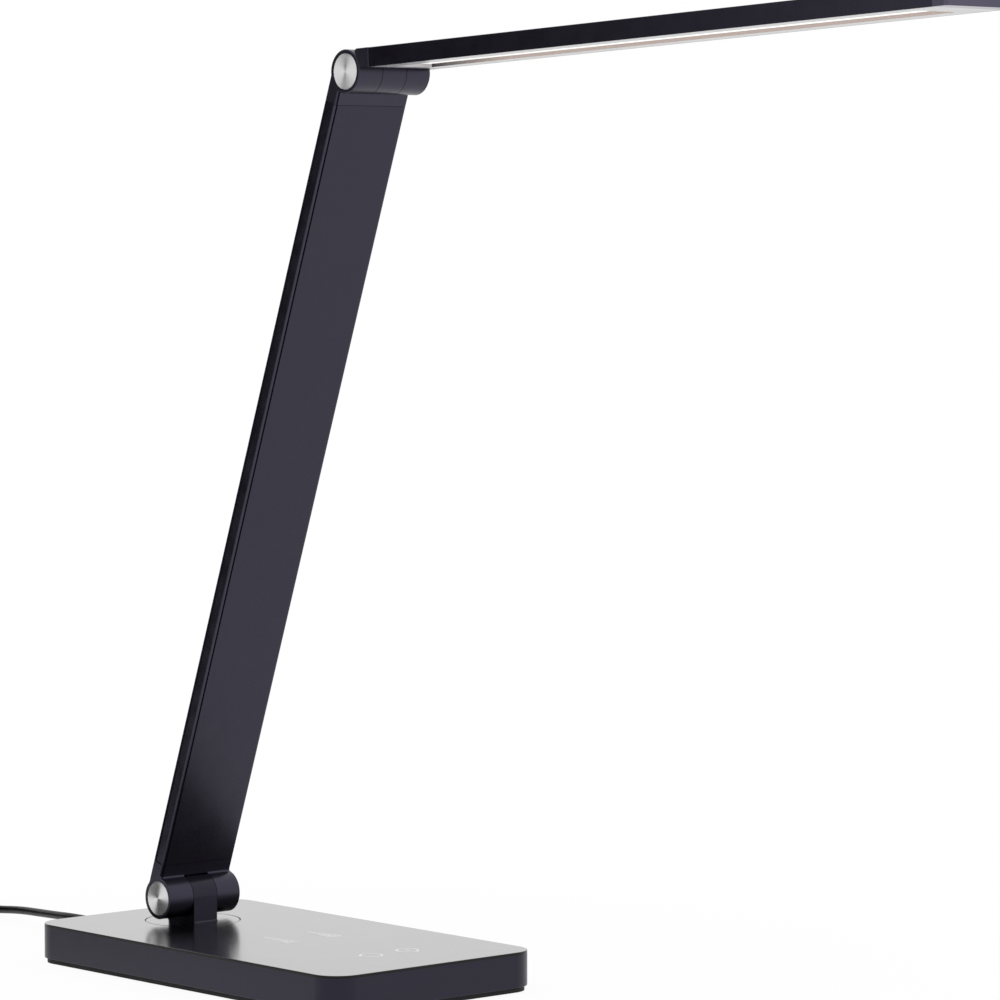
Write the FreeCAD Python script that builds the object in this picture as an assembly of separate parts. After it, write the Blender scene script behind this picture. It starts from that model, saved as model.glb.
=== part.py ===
import FreeCAD, Part
import math
import os

from FreeCAD import Placement, Rotation, Vector

# A folding desk lamp: a flat weighted base, a turntable with a hinge post, a flat arm and a slim head.
# X points forwards, the way the head reaches; Y points left, along the hinge pins; Z points up.
# The origin is the middle of the base's underside, on the table. Lengths are millimetres, angles degrees.

# Clearances
running_gap = 0.05      # where one piece turns on another
thread_gap = 0.02       # between a screw or a pin and the hole that holds it
seat_gap = 0.1          # between pieces that are fitted together and stay together
seam_gap = 0.15         # joint line between two casings
swing_gap = 0.5         # between a hinge barrel and what swings round it

# Base casing
base_length = 206.0
base_width = 113.0
base_height = 17.7
base_corner_radius = 12.3
shell_wall = 2.4
shell_deck = 1.8
shell_rim_radius = 0.3
panel_thickness = 1.2
panel_edge_radius = 0.35
plinth_height = 2.6     # table to the lower rim of the side walls
plinth_inset = 1.2
cover_thickness = 3.2
pad_thickness = 1.0
pad_proud = 0.5
pad_margin = 4.0
ballast_thickness = 3.0
ballast_end_margin = 15.0
ballast_side_margin = 7.0
ballast_corner_radius = 6.0
cover_screw_inset = 13.0
cover_boss_radius = 3.6

# Control board and touch keys
board_length = 84.0
board_width = 46.0
board_thickness = 1.6
board_x = 38.0
board_y = 3.3
board_standoff = 3.0
standoff_radius = 2.6
board_screw_inset = 4.0
key_row_x = 67.7
key_spacing = 20.0
mark_row_x = 9.0
mark_spacing = 23.8
electrode_radius = 4.5
chip_size = 7.0
chip_thickness = 1.2
inductor_radius = 4.0
inductor_height = 2.4
socket_length = 6.0
socket_width = 5.0
socket_height = 2.2
supply_socket_y = -8.0

# Power inlet, plug and cord
jack_height = 9.0
jack_depth = 12.0
jack_width = 9.0
jack_nose_radius = 3.9
plug_barrel_radius = 2.75
plug_barrel_length = 9.5
plug_pin_radius = 1.0
plug_grip_radius = 3.7
plug_grip_length = 24.5
plug_boot_length = 8.0
plug_boot_radius = 2.6
boot_tip_wall = 0.4
cord_diameter = 3.6
coil_inner_radius = 13.0
coil_pitch = 4.25
coil_turns_per_layer = 2.75
coil_layers = 4
coil_climb_turns = 0.5  # share of a turn in which the cord climbs to the next layer
coil_exit_step = 5.6
coil_exit_turns = 0.5   # the last stretch, down beside the coil to the plug
coil_step_turns = 0.25
coil_drop_start = 0.05
coil_drop_turns = 0.4
tie_thickness = 0.8
tie_width = 8.0
tie_gap = 0.35
usb_grip_length = 22.0
usb_grip_width = 15.4
usb_grip_thickness = 8.0
usb_edge_radius = 1.6
usb_shell_length = 13.0
usb_shell_width = 12.0
usb_shell_thickness = 4.5
usb_shell_wall = 0.35
usb_tongue_thickness = 1.8

# Swivel
stem_setback = 41.2     # rear face of the base to the swivel axis
turntable_radius = 20.75
turntable_thickness = 3.0
turntable_gap = 0.35
turntable_edge_radius = 0.3
well_wall = 2.0
well_floor = 2.0
spindle_radius = 8.0
spindle_bore_radius = 2.4
thrust_washer_radius = 18.0
thrust_washer_thickness = 0.4
friction_washer_thickness = 0.6
retainer_radius = 12.5
retainer_thickness = 2.4
post_screw_offset = 5.2
retainer_screw_offset = 5.2
post_foot_ledge = 0.6

# Hinges, alike at both ends of the arm
barrel_radius = 9.1
barrel_length = 38.9
centre_knuckle = 12.8
knuckle_gap = 0.25
lower_axis_height = 28.9
pin_radius = 3.0
pin_head_radius = 5.0
pin_head_thickness = 3.0
bush_wall = 1.5
cap_radius = 7.55
cap_thickness = 1.1
cap_recess = 1.3
cap_edge_chamfer = 0.2
hardware_radius = 6.2
hardware_depth = 5.4
spring_washer_radius = 5.6
spring_washer_thickness = 0.7
spring_washer_count = 2
nut_across_flats = 9.6
nut_thickness = 3.2

# Arm
arm_span = 380.0        # hinge axis to hinge axis
arm_lean = 19.8         # forwards from upright
arm_thickness = 6.9
arm_back = 8.05         # hinge axis to the arm's back face
arm_wall = 1.2
arm_cover_thickness = 1.2
arm_cover_gap = 0.2
arm_cover_proud = 0.5   # the cover stands out from the channel's two lips
arm_ledge = 1.0
arm_groove_depth = 0.4
arm_groove_margin = 0.8
arm_edge_chamfer = 0.3
yoke_length = 15.0
yoke_fillet = 0.9
tongue_length = 22.0
yoke_wire_radius = 1.6
yoke_screw_spacing = 20.0

# Head
head_reach = 337.0      # upper hinge axis to the tip
head_rise = 2.5         # tip up from level
head_thickness = 8.0
head_top = 8.9          # hinge axis to the head's top face
head_wall = 1.2
head_edge_radius = 0.4
root_length = 15.2
root_lip_radius = 1.4
root_end_chamfer = 0.3
root_tongue_length = 9.0
root_tongue_thickness = 3.0
tip_cap_length = 7.0
tip_corner_radius = 1.3
tip_spigot_length = 8.0
window_start = 20.6     # from the upper hinge axis
window_tip_margin = 21.5
window_width = 19.0
window_corner_radius = 2.0
bezel_thickness = 1.4
diffuser_thickness = 1.5
diffuser_margin = 4.5
reflector_wall = 2.5
led_board_thickness = 1.0
led_length = 3.5
led_width = 2.8
led_height = 0.7
led_pitch = 8.0
head_screw_spacing = 20.0

# Screws
small_screw_radius = 1.2
small_head_radius = 2.1
small_head_height = 1.3
cover_screw_radius = 1.4
cover_screw_head_radius = 2.6
cover_screw_length = 9.0
post_screw_radius = 1.5
post_screw_head_radius = 2.3
post_screw_head_height = 1.8
post_screw_grip = 6.0
board_screw_grip = 2.2
retainer_screw_grip = 1.5
blind_hole_share = 0.6  # how far a screw bites into a thin wall

# Leads inside the lamp
lead_radius = 0.9
lead_straight = 8.0
lead_fall = 16.0
lead_rise = 6.0
bend_share = 0.45       # how much of a run the bend at its end may use

# Heights and places that follow from the sizes above
panel_bottom = base_height - panel_thickness
deck_bottom = panel_bottom - shell_deck
cover_top = pad_proud + cover_thickness
pad_recess_top = pad_thickness
ballast_top = cover_top + ballast_thickness
stem_x = -base_length / 2 + stem_setback
well_radius = turntable_radius + turntable_gap
turntable_bottom = base_height - turntable_thickness
well_floor_top = turntable_bottom - thrust_washer_thickness - running_gap
well_floor_bottom = well_floor_top - well_floor
spindle_bottom = well_floor_bottom - friction_washer_thickness - running_gap
retainer_bottom = spindle_bottom - retainer_thickness
board_top = deck_bottom - board_standoff
board_bottom = board_top - board_thickness
board_screw_hold = board_thickness + board_screw_grip
board_rear = board_x - board_length / 2
socket_level = board_top + socket_height / 2
cord_radius = cord_diameter / 2
barrel_half = barrel_length / 2
knuckle_half = centre_knuckle / 2
outer_knuckle_start = knuckle_half + knuckle_gap
cap_seat = barrel_half - cap_recess
hardware_seat = cap_seat - hardware_depth
swing_radius = barrel_radius + swing_gap
arm_front = arm_thickness - arm_back
lip_front = arm_front - arm_cover_proud
head_bottom = head_top - head_thickness
bezel_top = head_bottom + bezel_thickness
diffuser_top = bezel_top + diffuser_thickness
housing_ceiling = head_top - head_wall
led_board_bottom = housing_ceiling - led_board_thickness
housing_start = root_length + seam_gap
housing_end = head_reach - tip_cap_length - seam_gap
window_end = head_reach - window_tip_margin
diffuser_start = window_start - diffuser_margin
optics_start = root_length + root_tongue_length + swing_gap
optics_end = window_end + diffuser_margin
optics_half_width = window_width / 2 + diffuser_margin
rear_face = -base_length / 2
plug_face = rear_face - seam_gap
boot_end = plug_face - plug_grip_length - plug_boot_length
coil_outer_radius = coil_inner_radius + coil_pitch * coil_turns_per_layer
coil_floor = tie_thickness + tie_gap + cord_radius
coil_turns = coil_turns_per_layer * coil_layers
tolerance = 1e-6

# The cord's route from the plug's boot to the coil, falling slowly to the table
cord_route = [
    Vector(boot_end, 0.0, jack_height),
    Vector(-150.0, 0.0, jack_height),
    Vector(-168.0, 3.0, 7.7),
    Vector(-186.0, 6.8, 6.5),
    Vector(-206.0, 10.4, 5.2),
    Vector(-226.0, 12.6, coil_floor),
    Vector(-240.0, 12.6, coil_floor),
]
coil_entry = cord_route[-1]
coil_centre = coil_entry + Vector(-cord_diameter, -coil_outer_radius, 0)


# Plain solids
def box(x_range, y_range, z_range):
    size = [high - low for low, high in (x_range, y_range, z_range)]
    return Part.makeBox(size[0], size[1], size[2], Vector(x_range[0], y_range[0], z_range[0]))


def rod(radius, start, end):
    axis = Vector(*end) - Vector(*start)
    return Part.makeCylinder(radius, axis.Length, Vector(*start), axis)


def upright(radius, x, y, z_range):
    return rod(radius, (x, y, z_range[0]), (x, y, z_range[1]))


def crosswise(radius, y_range, x=0.0, z=0.0):
    return rod(radius, (x, y_range[0], z), (x, y_range[1], z))


def cone(radius_start, radius_end, start, end):
    axis = Vector(*end) - Vector(*start)
    return Part.makeCone(radius_start, radius_end, axis.Length, Vector(*start), axis)


def fused(shapes):
    return shapes[0].fuse(shapes[1:]).removeSplitter()


def edges_at(shape, axis, value):
    """Edges that lie wholly in one plane square to an axis."""
    return [e for e in shape.Edges if all(abs(getattr(v, axis) - value) < tolerance for v in e.Vertexes)]


def edges_along(shape, direction):
    """Straight edges that run along a direction."""
    found = []
    for edge in shape.Edges:
        if isinstance(edge.Curve, (Part.Line, Part.LineSegment)):
            if abs(edge.tangentAt(edge.FirstParameter).dot(direction)) > 1 - tolerance:
                found.append(edge)
    return found


def rounded_plate(x_range, y_range, z_range, corner_radius):
    """A flat plate with rounded corners in plan."""
    plate = box(x_range, y_range, z_range)
    return plate.makeFillet(corner_radius, edges_along(plate, Vector(0, 0, 1)))


def base_plate(inset, z_range):
    """A plate of the base's outline, drawn in all round."""
    x_half = base_length / 2 - inset
    y_half = base_width / 2 - inset
    return rounded_plate((-x_half, x_half), (-y_half, y_half), z_range, base_corner_radius - inset)


def extrude_across(edges, y_range):
    """Extrude an outline drawn in the XZ plane along Y."""
    face = Part.Face(Part.Wire(edges))
    face.translate(Vector(0, y_range[0], 0))
    return face.extrude(Vector(0, y_range[1] - y_range[0], 0))


def line(start, end):
    return Part.LineSegment(start, end).toShape()


def closed_outline(points):
    return [line(start, end) for start, end in zip(points, points[1:] + points[:1])]


def tangent_arc(start, corner, end):
    """The arc that leaves start towards corner and arrives at end from it, both as far from the corner."""
    middle = (start + end) * 0.5
    half_chord = (end - start).Length / 2
    rise = (corner - middle).Length / half_chord
    crest = middle + (corner - middle) * (1 / (1 + math.sqrt(1 + rise * rise)))
    return Part.Arc(start, crest, end).toShape()


def arc_about(centre, start, end, side):
    """The arc from start to end about a centre, on the side of a given direction."""
    radius = (start - centre).Length
    crest = centre + side.normalize() * radius
    return Part.Arc(start, crest, end).toShape()


# Screws
def pan_screw(seat, direction, radius, grip, head_radius, head_height):
    """A screw whose head rests at seat and whose shank runs along direction."""
    axis = Vector(*direction)
    seat = Vector(*seat)
    head_end = seat - axis * head_height
    shank = rod(radius, seat, seat + axis * grip)
    head = rod(head_radius, head_end, seat)
    drive = rod(head_radius / 3, head_end, head_end + axis * (head_height / 2))
    return fused([shank, head]).cut(drive)


def small_screw(seat, direction, grip):
    return pan_screw(seat, direction, small_screw_radius, grip, small_head_radius, small_head_height)


def cover_screw(x, y):
    """A countersunk screw, flush with the floor of the pad's recess."""
    bottom = pad_recess_top
    taper = cover_screw_head_radius - cover_screw_radius
    head = cone(cover_screw_head_radius, cover_screw_radius, (x, y, bottom), (x, y, bottom + taper))
    shank = upright(cover_screw_radius, x, y, (bottom, bottom + cover_screw_length))
    drive = upright(cover_screw_radius / 2, x, y, (bottom, bottom + taper / 2))
    return fused([head, shank]).cut(drive)


def screw_holes_in(z_range, places):
    """Clearance holes for small screws put in from below, with their heads sunk."""
    cuts = []
    for x, y in places:
        seat = z_range[0] + small_head_height
        cuts.append(upright(small_head_radius + seat_gap, x, y, (z_range[0], seat)))
        cuts.append(upright(small_screw_radius + seat_gap, x, y, (seat, z_range[1])))
    return cuts


def corner_places(x_half, y_half, x=0.0, y=0.0):
    return [(x + sx * x_half, y + sy * y_half) for sx in (-1, 1) for sy in (-1, 1)]


cover_screw_places = corner_places(base_length / 2 - cover_screw_inset, base_width / 2 - cover_screw_inset)
board_screw_places = corner_places(
    board_length / 2 - board_screw_inset, board_width / 2 - board_screw_inset, board_x, board_y)
key_places = [
    (row_x, board_y + side * spacing / 2)
    for row_x, spacing in ((key_row_x, key_spacing), (mark_row_x, mark_spacing))
    for side in (-1, 1)]


# Base
def make_base_shell():
    outer = base_plate(0, (plinth_height, panel_bottom))
    outer = outer.makeFillet(shell_rim_radius, edges_at(outer, "Z", plinth_height))
    shell = outer.cut(base_plate(shell_wall, (plinth_height, deck_bottom)))
    well = upright(well_radius + well_wall, stem_x, 0, (well_floor_bottom, panel_bottom))
    bosses = [upright(cover_boss_radius, x, y, (cover_top, panel_bottom)) for x, y in cover_screw_places]
    standoffs = [upright(standoff_radius, x, y, (board_top, panel_bottom)) for x, y in board_screw_places]
    shell = fused([shell, well] + bosses + standoffs)
    cuts = [upright(well_radius, stem_x, 0, (well_floor_top, panel_bottom))]
    cuts.append(upright(spindle_radius + running_gap, stem_x, 0, (well_floor_bottom, well_floor_top)))
    screw_top = pad_recess_top + cover_screw_length
    cuts += [upright(cover_screw_radius + thread_gap, x, y, (cover_top, screw_top + thread_gap))
             for x, y in cover_screw_places]
    cuts += [upright(small_screw_radius + thread_gap, x, y, (board_top, board_bottom + board_screw_hold))
             for x, y in board_screw_places]
    cuts.append(rod(jack_nose_radius + seat_gap, (rear_face, 0, jack_height),
                    (rear_face + shell_wall, 0, jack_height)))
    return shell.cut(cuts)


def make_touch_panel():
    panel = base_plate(0, (panel_bottom, base_height))
    panel = panel.makeFillet(panel_edge_radius, edges_at(panel, "Z", base_height))
    return panel.cut(upright(well_radius, stem_x, 0, (panel_bottom, base_height)))


def make_bottom_cover():
    flange = base_plate(plinth_inset, (pad_proud, plinth_height))
    plug = base_plate(shell_wall + seat_gap, (plinth_height, cover_top))
    recess = base_plate(plinth_inset + pad_margin, (pad_proud, pad_recess_top))
    cover = fused([flange, plug]).cut(recess)
    taper = cover_screw_head_radius - cover_screw_radius
    for x, y in cover_screw_places:
        sink = cone(cover_screw_head_radius + seat_gap, cover_screw_radius + seat_gap,
                    (x, y, pad_recess_top), (x, y, pad_recess_top + taper))
        hole = upright(cover_screw_radius + seat_gap, x, y, (pad_recess_top, cover_top))
        cover = cover.cut([sink, hole])
    return cover


def make_non_slip_pad():
    return base_plate(plinth_inset + pad_margin + seat_gap, (0, pad_recess_top))


def make_ballast_plate():
    x_half = base_length / 2 - shell_wall - ballast_end_margin
    y_half = base_width / 2 - shell_wall - ballast_side_margin
    heights = (cover_top, ballast_top)
    plate = rounded_plate((-x_half, x_half), (-y_half, y_half), heights, ballast_corner_radius)
    clear = [upright(cover_boss_radius + swing_gap, x, y, heights) for x, y in cover_screw_places]
    clear.append(box((rear_face, rear_face + shell_wall + jack_depth + swing_gap),
                     (-jack_width / 2 - swing_gap, jack_width / 2 + swing_gap), heights))
    return plate.cut(clear)


def make_cover_screws():
    return [cover_screw(x, y) for x, y in cover_screw_places]


def make_control_board():
    heights = (board_bottom, board_top)
    board = rounded_plate((board_rear, board_rear + board_length),
                          (board_y - board_width / 2, board_y + board_width / 2), heights, small_head_radius)
    holes = [upright(small_screw_radius + seat_gap, x, y, heights) for x, y in board_screw_places]
    return board.cut(holes)


def make_board_screws():
    return [small_screw((x, y, board_bottom), (0, 0, 1), board_screw_hold) for x, y in board_screw_places]


def make_board_components():
    """The touch controller, the choke of the lamp's driver and the two wire sockets."""
    chip = box((board_x - chip_size, board_x), (board_y - chip_size / 2, board_y + chip_size / 2),
               (board_top, board_top + chip_thickness))
    choke = upright(inductor_radius, board_x + 2 * inductor_radius, board_y,
                    (board_top, board_top + inductor_height))
    sockets = [box((board_rear, board_rear + socket_length), (y - socket_width / 2, y + socket_width / 2),
                   (board_top, board_top + socket_height)) for y in (0.0, supply_socket_y)]
    return [chip, choke] + sockets


def make_touch_electrodes():
    return [upright(electrode_radius, x, y, (board_top, deck_bottom - thread_gap)) for x, y in key_places]


def make_dc_jack():
    inner_face = rear_face + shell_wall
    back = inner_face + jack_depth
    half = jack_width / 2
    body = box((inner_face, back), (-half, half), (jack_height - half, jack_height + half))
    nose = rod(jack_nose_radius, (rear_face, 0, jack_height), (inner_face, 0, jack_height))
    bore_end = plug_face + plug_barrel_length + seat_gap
    bore = rod(plug_barrel_radius + running_gap, (rear_face, 0, jack_height), (bore_end, 0, jack_height))
    pin = rod(plug_pin_radius, (rear_face + seat_gap, 0, jack_height), (bore_end, 0, jack_height))
    return fused([fused([body, nose]).cut(bore), pin])


# Swivel
def make_thrust_washer():
    heights = (well_floor_top, well_floor_top + thrust_washer_thickness)
    ring = upright(thrust_washer_radius, stem_x, 0, heights)
    return ring.cut(upright(spindle_radius + swing_gap, stem_x, 0, heights))


def post_screw_places():
    return [(stem_x + side * post_screw_offset, 0.0) for side in (-1, 1)]


def retainer_screw_places():
    return [(stem_x, side * retainer_screw_offset) for side in (-1, 1)]


def make_turntable():
    disc = upright(turntable_radius, stem_x, 0, (turntable_bottom, base_height))
    disc = disc.makeFillet(turntable_edge_radius, edges_at(disc, "Z", base_height))
    spindle = upright(spindle_radius, stem_x, 0, (spindle_bottom, turntable_bottom))
    cuts = [upright(spindle_bore_radius, stem_x, 0, (spindle_bottom, base_height))]
    for x, y in post_screw_places():
        cuts.append(upright(post_screw_radius + seat_gap, x, y, (spindle_bottom, base_height)))
        cuts.append(upright(post_screw_head_radius + seat_gap, x, y,
                            (spindle_bottom, spindle_bottom + post_screw_head_height)))
    for x, y in retainer_screw_places():
        cuts.append(upright(small_screw_radius + thread_gap, x, y,
                            (spindle_bottom, spindle_bottom + retainer_screw_grip + thread_gap)))
    return fused([disc, spindle]).cut(cuts)


def make_friction_washer():
    heights = (spindle_bottom, spindle_bottom + friction_washer_thickness)
    ring = upright(retainer_radius, stem_x, 0, heights)
    return ring.cut(upright(spindle_radius + seat_gap, stem_x, 0, heights))


def make_retainer_plate():
    heights = (retainer_bottom, spindle_bottom)
    plate = upright(retainer_radius, stem_x, 0, heights)
    cuts = [upright(spindle_bore_radius, stem_x, 0, heights)]
    return plate.cut(cuts + screw_holes_in(heights, retainer_screw_places()))


def make_retainer_screws():
    seat = retainer_bottom + small_head_height
    hold = spindle_bottom + retainer_screw_grip - seat
    return [small_screw((x, y, seat), (0, 0, 1), hold) for x, y in retainer_screw_places()]


def make_post_screws():
    seat = spindle_bottom + post_screw_head_height
    hold = base_height + post_screw_grip - seat
    return [pan_screw((x, y, seat), (0, 0, 1), post_screw_radius, hold, post_screw_head_radius,
                      post_screw_head_height) for x, y in post_screw_places()]


def make_hinge_post():
    """The lower hinge's middle knuckle on a block that runs straight down to the turntable, with a sloping
    ledge along its front and back foot."""
    reach = (-knuckle_half, knuckle_half)
    barrel = crosswise(barrel_radius, reach, stem_x, lower_axis_height)
    block = box((stem_x - barrel_radius, stem_x + barrel_radius), reach, (base_height, lower_axis_height))
    toe = barrel_radius + post_foot_ledge
    foot = [Vector(stem_x + x, 0, base_height + z) for x, z in (
        (-toe, 0), (toe, 0), (barrel_radius, post_foot_ledge), (-barrel_radius, post_foot_ledge))]
    ledge = extrude_across(closed_outline(foot), reach)
    post = fused([barrel, block, ledge])
    cuts = [crosswise(pin_radius + running_gap + bush_wall + thread_gap, reach, stem_x, lower_axis_height)]
    cuts.append(upright(spindle_bore_radius, stem_x, 0, (base_height, lower_axis_height)))
    screw_heights = (base_height, base_height + post_screw_grip + thread_gap)
    cuts += [upright(post_screw_radius + thread_gap, x, y, screw_heights) for x, y in post_screw_places()]
    return post.cut(cuts)


# Hinge hardware, drawn about a hinge axis at the origin
def make_bush():
    reach = (-knuckle_half, knuckle_half)
    inner = pin_radius + running_gap
    return crosswise(inner + bush_wall, reach).cut(crosswise(inner, reach))


def make_pin():
    stack = spring_washer_count * spring_washer_thickness + nut_thickness
    shank = crosswise(pin_radius, (-hardware_seat, hardware_seat + stack))
    head = crosswise(pin_head_radius, (-hardware_seat - pin_head_thickness, -hardware_seat))
    return fused([shank, head])


def make_spring_washers():
    washers = []
    for number in range(spring_washer_count):
        start = hardware_seat + number * spring_washer_thickness
        reach = (start, start + spring_washer_thickness)
        washers.append(crosswise(spring_washer_radius, reach).cut(crosswise(pin_radius + seat_gap, reach)))
    return washers


def make_nut():
    start = hardware_seat + spring_washer_count * spring_washer_thickness
    corner = nut_across_flats / math.sqrt(3)
    corners = [Vector(corner * math.cos(math.radians(60 * k)), 0, corner * math.sin(math.radians(60 * k)))
               for k in range(6)]
    reach = (start, start + nut_thickness)
    return extrude_across(closed_outline(corners), reach).cut(crosswise(pin_radius + thread_gap, reach))


def make_cap(side):
    inner = side * cap_seat
    outer = side * (cap_seat + cap_thickness)
    cap = crosswise(cap_radius, (inner, outer))
    return cap.makeChamfer(cap_edge_chamfer, edges_at(cap, "Y", outer))


# Arm, drawn upright with the lower hinge axis at the origin and the front towards X
def knuckle_outline(front):
    """An outer knuckle from the side: the barrel's circle, with a small fillet into the arm's front."""
    axis = Vector(0, 0, 0)
    back = Vector(-arm_back, 0, math.sqrt(barrel_radius ** 2 - arm_back ** 2))
    fillet_x = front + yoke_fillet
    fillet_centre = Vector(fillet_x, 0, math.sqrt((barrel_radius + yoke_fillet) ** 2 - fillet_x ** 2))
    on_barrel = fillet_centre * (barrel_radius / (barrel_radius + yoke_fillet))
    on_front = Vector(front, 0, fillet_centre.z)
    front_end = Vector(front, 0, yoke_length)
    back_end = Vector(-arm_back, 0, yoke_length)
    inwards = (on_barrel - fillet_centre) + (on_front - fillet_centre)
    return [arc_about(axis, back, on_barrel, Vector(1, 0, -1)),
            arc_about(fillet_centre, on_barrel, on_front, inwards),
            line(on_front, front_end), line(front_end, back_end), line(back_end, back)]


def bridge_outline():
    """The web between the two outer knuckles, scooped out round the middle one."""
    axis = Vector(0, 0, 0)
    back = Vector(-arm_back, 0, math.sqrt(swing_radius ** 2 - arm_back ** 2))
    front = Vector(arm_front, 0, math.sqrt(swing_radius ** 2 - arm_front ** 2))
    front_end = Vector(arm_front, 0, yoke_length)
    back_end = Vector(-arm_back, 0, yoke_length)
    return [arc_about(axis, back, front, back + front),
            line(front, front_end), line(front_end, back_end), line(back_end, back)]


def tongue_x_range():
    return (-arm_back + arm_wall + seat_gap, arm_front - arm_cover_thickness - seat_gap)


def tongue_half_width():
    return barrel_half - arm_wall - arm_ledge - seat_gap


def yoke_screw_height():
    return yoke_length + tongue_length / 2


def yoke_screw_ys():
    return [side * yoke_screw_spacing / 2 for side in (-1, 1)]


def make_lower_yoke():
    """Two outer knuckles and the web between them; the front steps back at both sides like the channel."""
    knuckles = []
    for side in (-1, 1):
        outer_face = side * barrel_half
        lip_face = side * (barrel_half - arm_wall)
        knuckles.append(extrude_across(knuckle_outline(arm_front), (side * outer_knuckle_start, lip_face)))
        lip = extrude_across(knuckle_outline(lip_front), (lip_face, outer_face))
        rim = [e for e in edges_at(lip, "Y", outer_face) if e.CenterOfMass.z < yoke_length - tolerance]
        knuckles.append(lip.makeChamfer(arm_edge_chamfer, rim))
    bridge = extrude_across(bridge_outline(), (-outer_knuckle_start, outer_knuckle_start))
    tongue_x = tongue_x_range()
    tongue_y = tongue_half_width()
    tongue = box(tongue_x, (-tongue_y, tongue_y), (yoke_length, yoke_length + tongue_length))
    yoke = fused(knuckles + [bridge, tongue])
    cuts = [crosswise(pin_radius + thread_gap, (-barrel_half, barrel_half))]
    for side in (-1, 1):
        cuts.append(crosswise(hardware_radius, (side * hardware_seat, side * cap_seat)))
        cuts.append(crosswise(cap_radius + seat_gap, (side * cap_seat, side * barrel_half)))
    wire_x = (tongue_x[0] + tongue_x[1]) / 2
    cuts.append(upright(yoke_wire_radius, wire_x, 0, (0, yoke_length + tongue_length)))
    for y in yoke_screw_ys():
        seat = tongue_x[1] - small_head_height
        height = yoke_screw_height()
        cuts.append(rod(small_head_radius + seat_gap, (seat, y, height), (tongue_x[1], y, height)))
        cuts.append(rod(small_screw_radius + seat_gap, (tongue_x[0], y, height), (seat, y, height)))
    return yoke.cut(cuts)


def flip_to_upper(shape):
    """The same piece at the arm's other end."""
    return shape.mirror(Vector(0, 0, arm_span / 2), Vector(0, 0, 1))


def make_yoke_screws():
    seat = tongue_x_range()[1] - small_head_height
    hold = seat - tongue_x_range()[0] + seat_gap + blind_hole_share * arm_wall
    lower = [small_screw((seat, y, yoke_screw_height()), (-1, 0, 0), hold) for y in yoke_screw_ys()]
    return lower + [flip_to_upper(screw) for screw in lower]


def make_arm_channel():
    """A channel open to the front, with a groove along each side and ledges that carry the cover."""
    heights = (yoke_length + seam_gap, arm_span - yoke_length - seam_gap)
    ledge_front = arm_front - arm_cover_thickness
    inner = barrel_half - arm_wall
    channel = box((-arm_back, lip_front), (-barrel_half, barrel_half), heights)
    channel = channel.makeChamfer(arm_edge_chamfer, edges_along(channel, Vector(0, 0, 1)))
    cuts = [box((-arm_back + arm_wall, ledge_front - arm_ledge), (-inner, inner), heights)]
    cuts.append(box((ledge_front - arm_ledge, ledge_front), (arm_ledge - inner, inner - arm_ledge), heights))
    cuts.append(box((ledge_front, lip_front), (-inner, inner), heights))
    groove_x = (-arm_back + arm_groove_margin, lip_front - arm_groove_margin)
    for side in (-1, 1):
        groove_y = sorted((side * (barrel_half - arm_groove_depth), side * barrel_half))
        cuts.append(box(groove_x, groove_y, heights))
    wall_inside = -arm_back + arm_wall
    for y in yoke_screw_ys():
        for height in (yoke_screw_height(), arm_span - yoke_screw_height()):
            cuts.append(rod(small_screw_radius + thread_gap, (wall_inside, y, height),
                            (wall_inside - blind_hole_share * arm_wall - thread_gap, y, height)))
    return channel.cut(cuts)


def make_arm_cover():
    half = barrel_half - arm_wall - arm_cover_gap
    return box((arm_front - arm_cover_thickness, arm_front), (-half, half),
               (yoke_length + seam_gap, arm_span - yoke_length - seam_gap))


def make_arm_lead():
    """The lamp's lead along the arm, lying on the channel's back wall between the two yokes."""
    x = -arm_back + arm_wall + seat_gap + lead_radius
    ends = (yoke_length + tongue_length + swing_gap, arm_span - yoke_length - tongue_length - swing_gap)
    return upright(lead_radius, x, 0, ends)


# Head, drawn level with the upper hinge axis at the origin and the tip towards X
def root_outline():
    """The root's cheeks from the side: a block hollowed round the barrel, with a rounded upper lip."""
    axis = Vector(0, 0, 0)
    lip_z = head_top - root_lip_radius
    lip = Vector(math.sqrt((swing_radius + root_lip_radius) ** 2 - lip_z ** 2), 0, lip_z)
    lip_top = Vector(lip.x, 0, head_top)
    lip_hollow = lip * (swing_radius / (swing_radius + root_lip_radius))
    foot = Vector(math.sqrt(swing_radius ** 2 - head_bottom ** 2), 0, head_bottom)
    outwards = (lip_top - lip) + (lip_hollow - lip)
    end_top = Vector(root_length, 0, head_top)
    end_bottom = Vector(root_length, 0, head_bottom)
    return [line(end_top, lip_top), arc_about(lip, lip_top, lip_hollow, outwards),
            arc_about(axis, lip_hollow, foot, lip_hollow + foot),
            line(foot, end_bottom), line(end_bottom, end_top)]


def head_inner_half():
    return barrel_half - head_wall - seat_gap


def root_tongue_z_range():
    top = housing_ceiling - seat_gap
    return (top - root_tongue_thickness, top)


def head_screw_places():
    """Screws up into the housing's ceiling: through the root's tongue and through the tip cap's spigot."""
    root_x = root_length + root_tongue_length / 2
    tip_x = head_reach - tip_cap_length - tip_spigot_length / 2
    return [(x, side * head_screw_spacing / 2) for x in (root_x, tip_x) for side in (-1, 1)]


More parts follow.
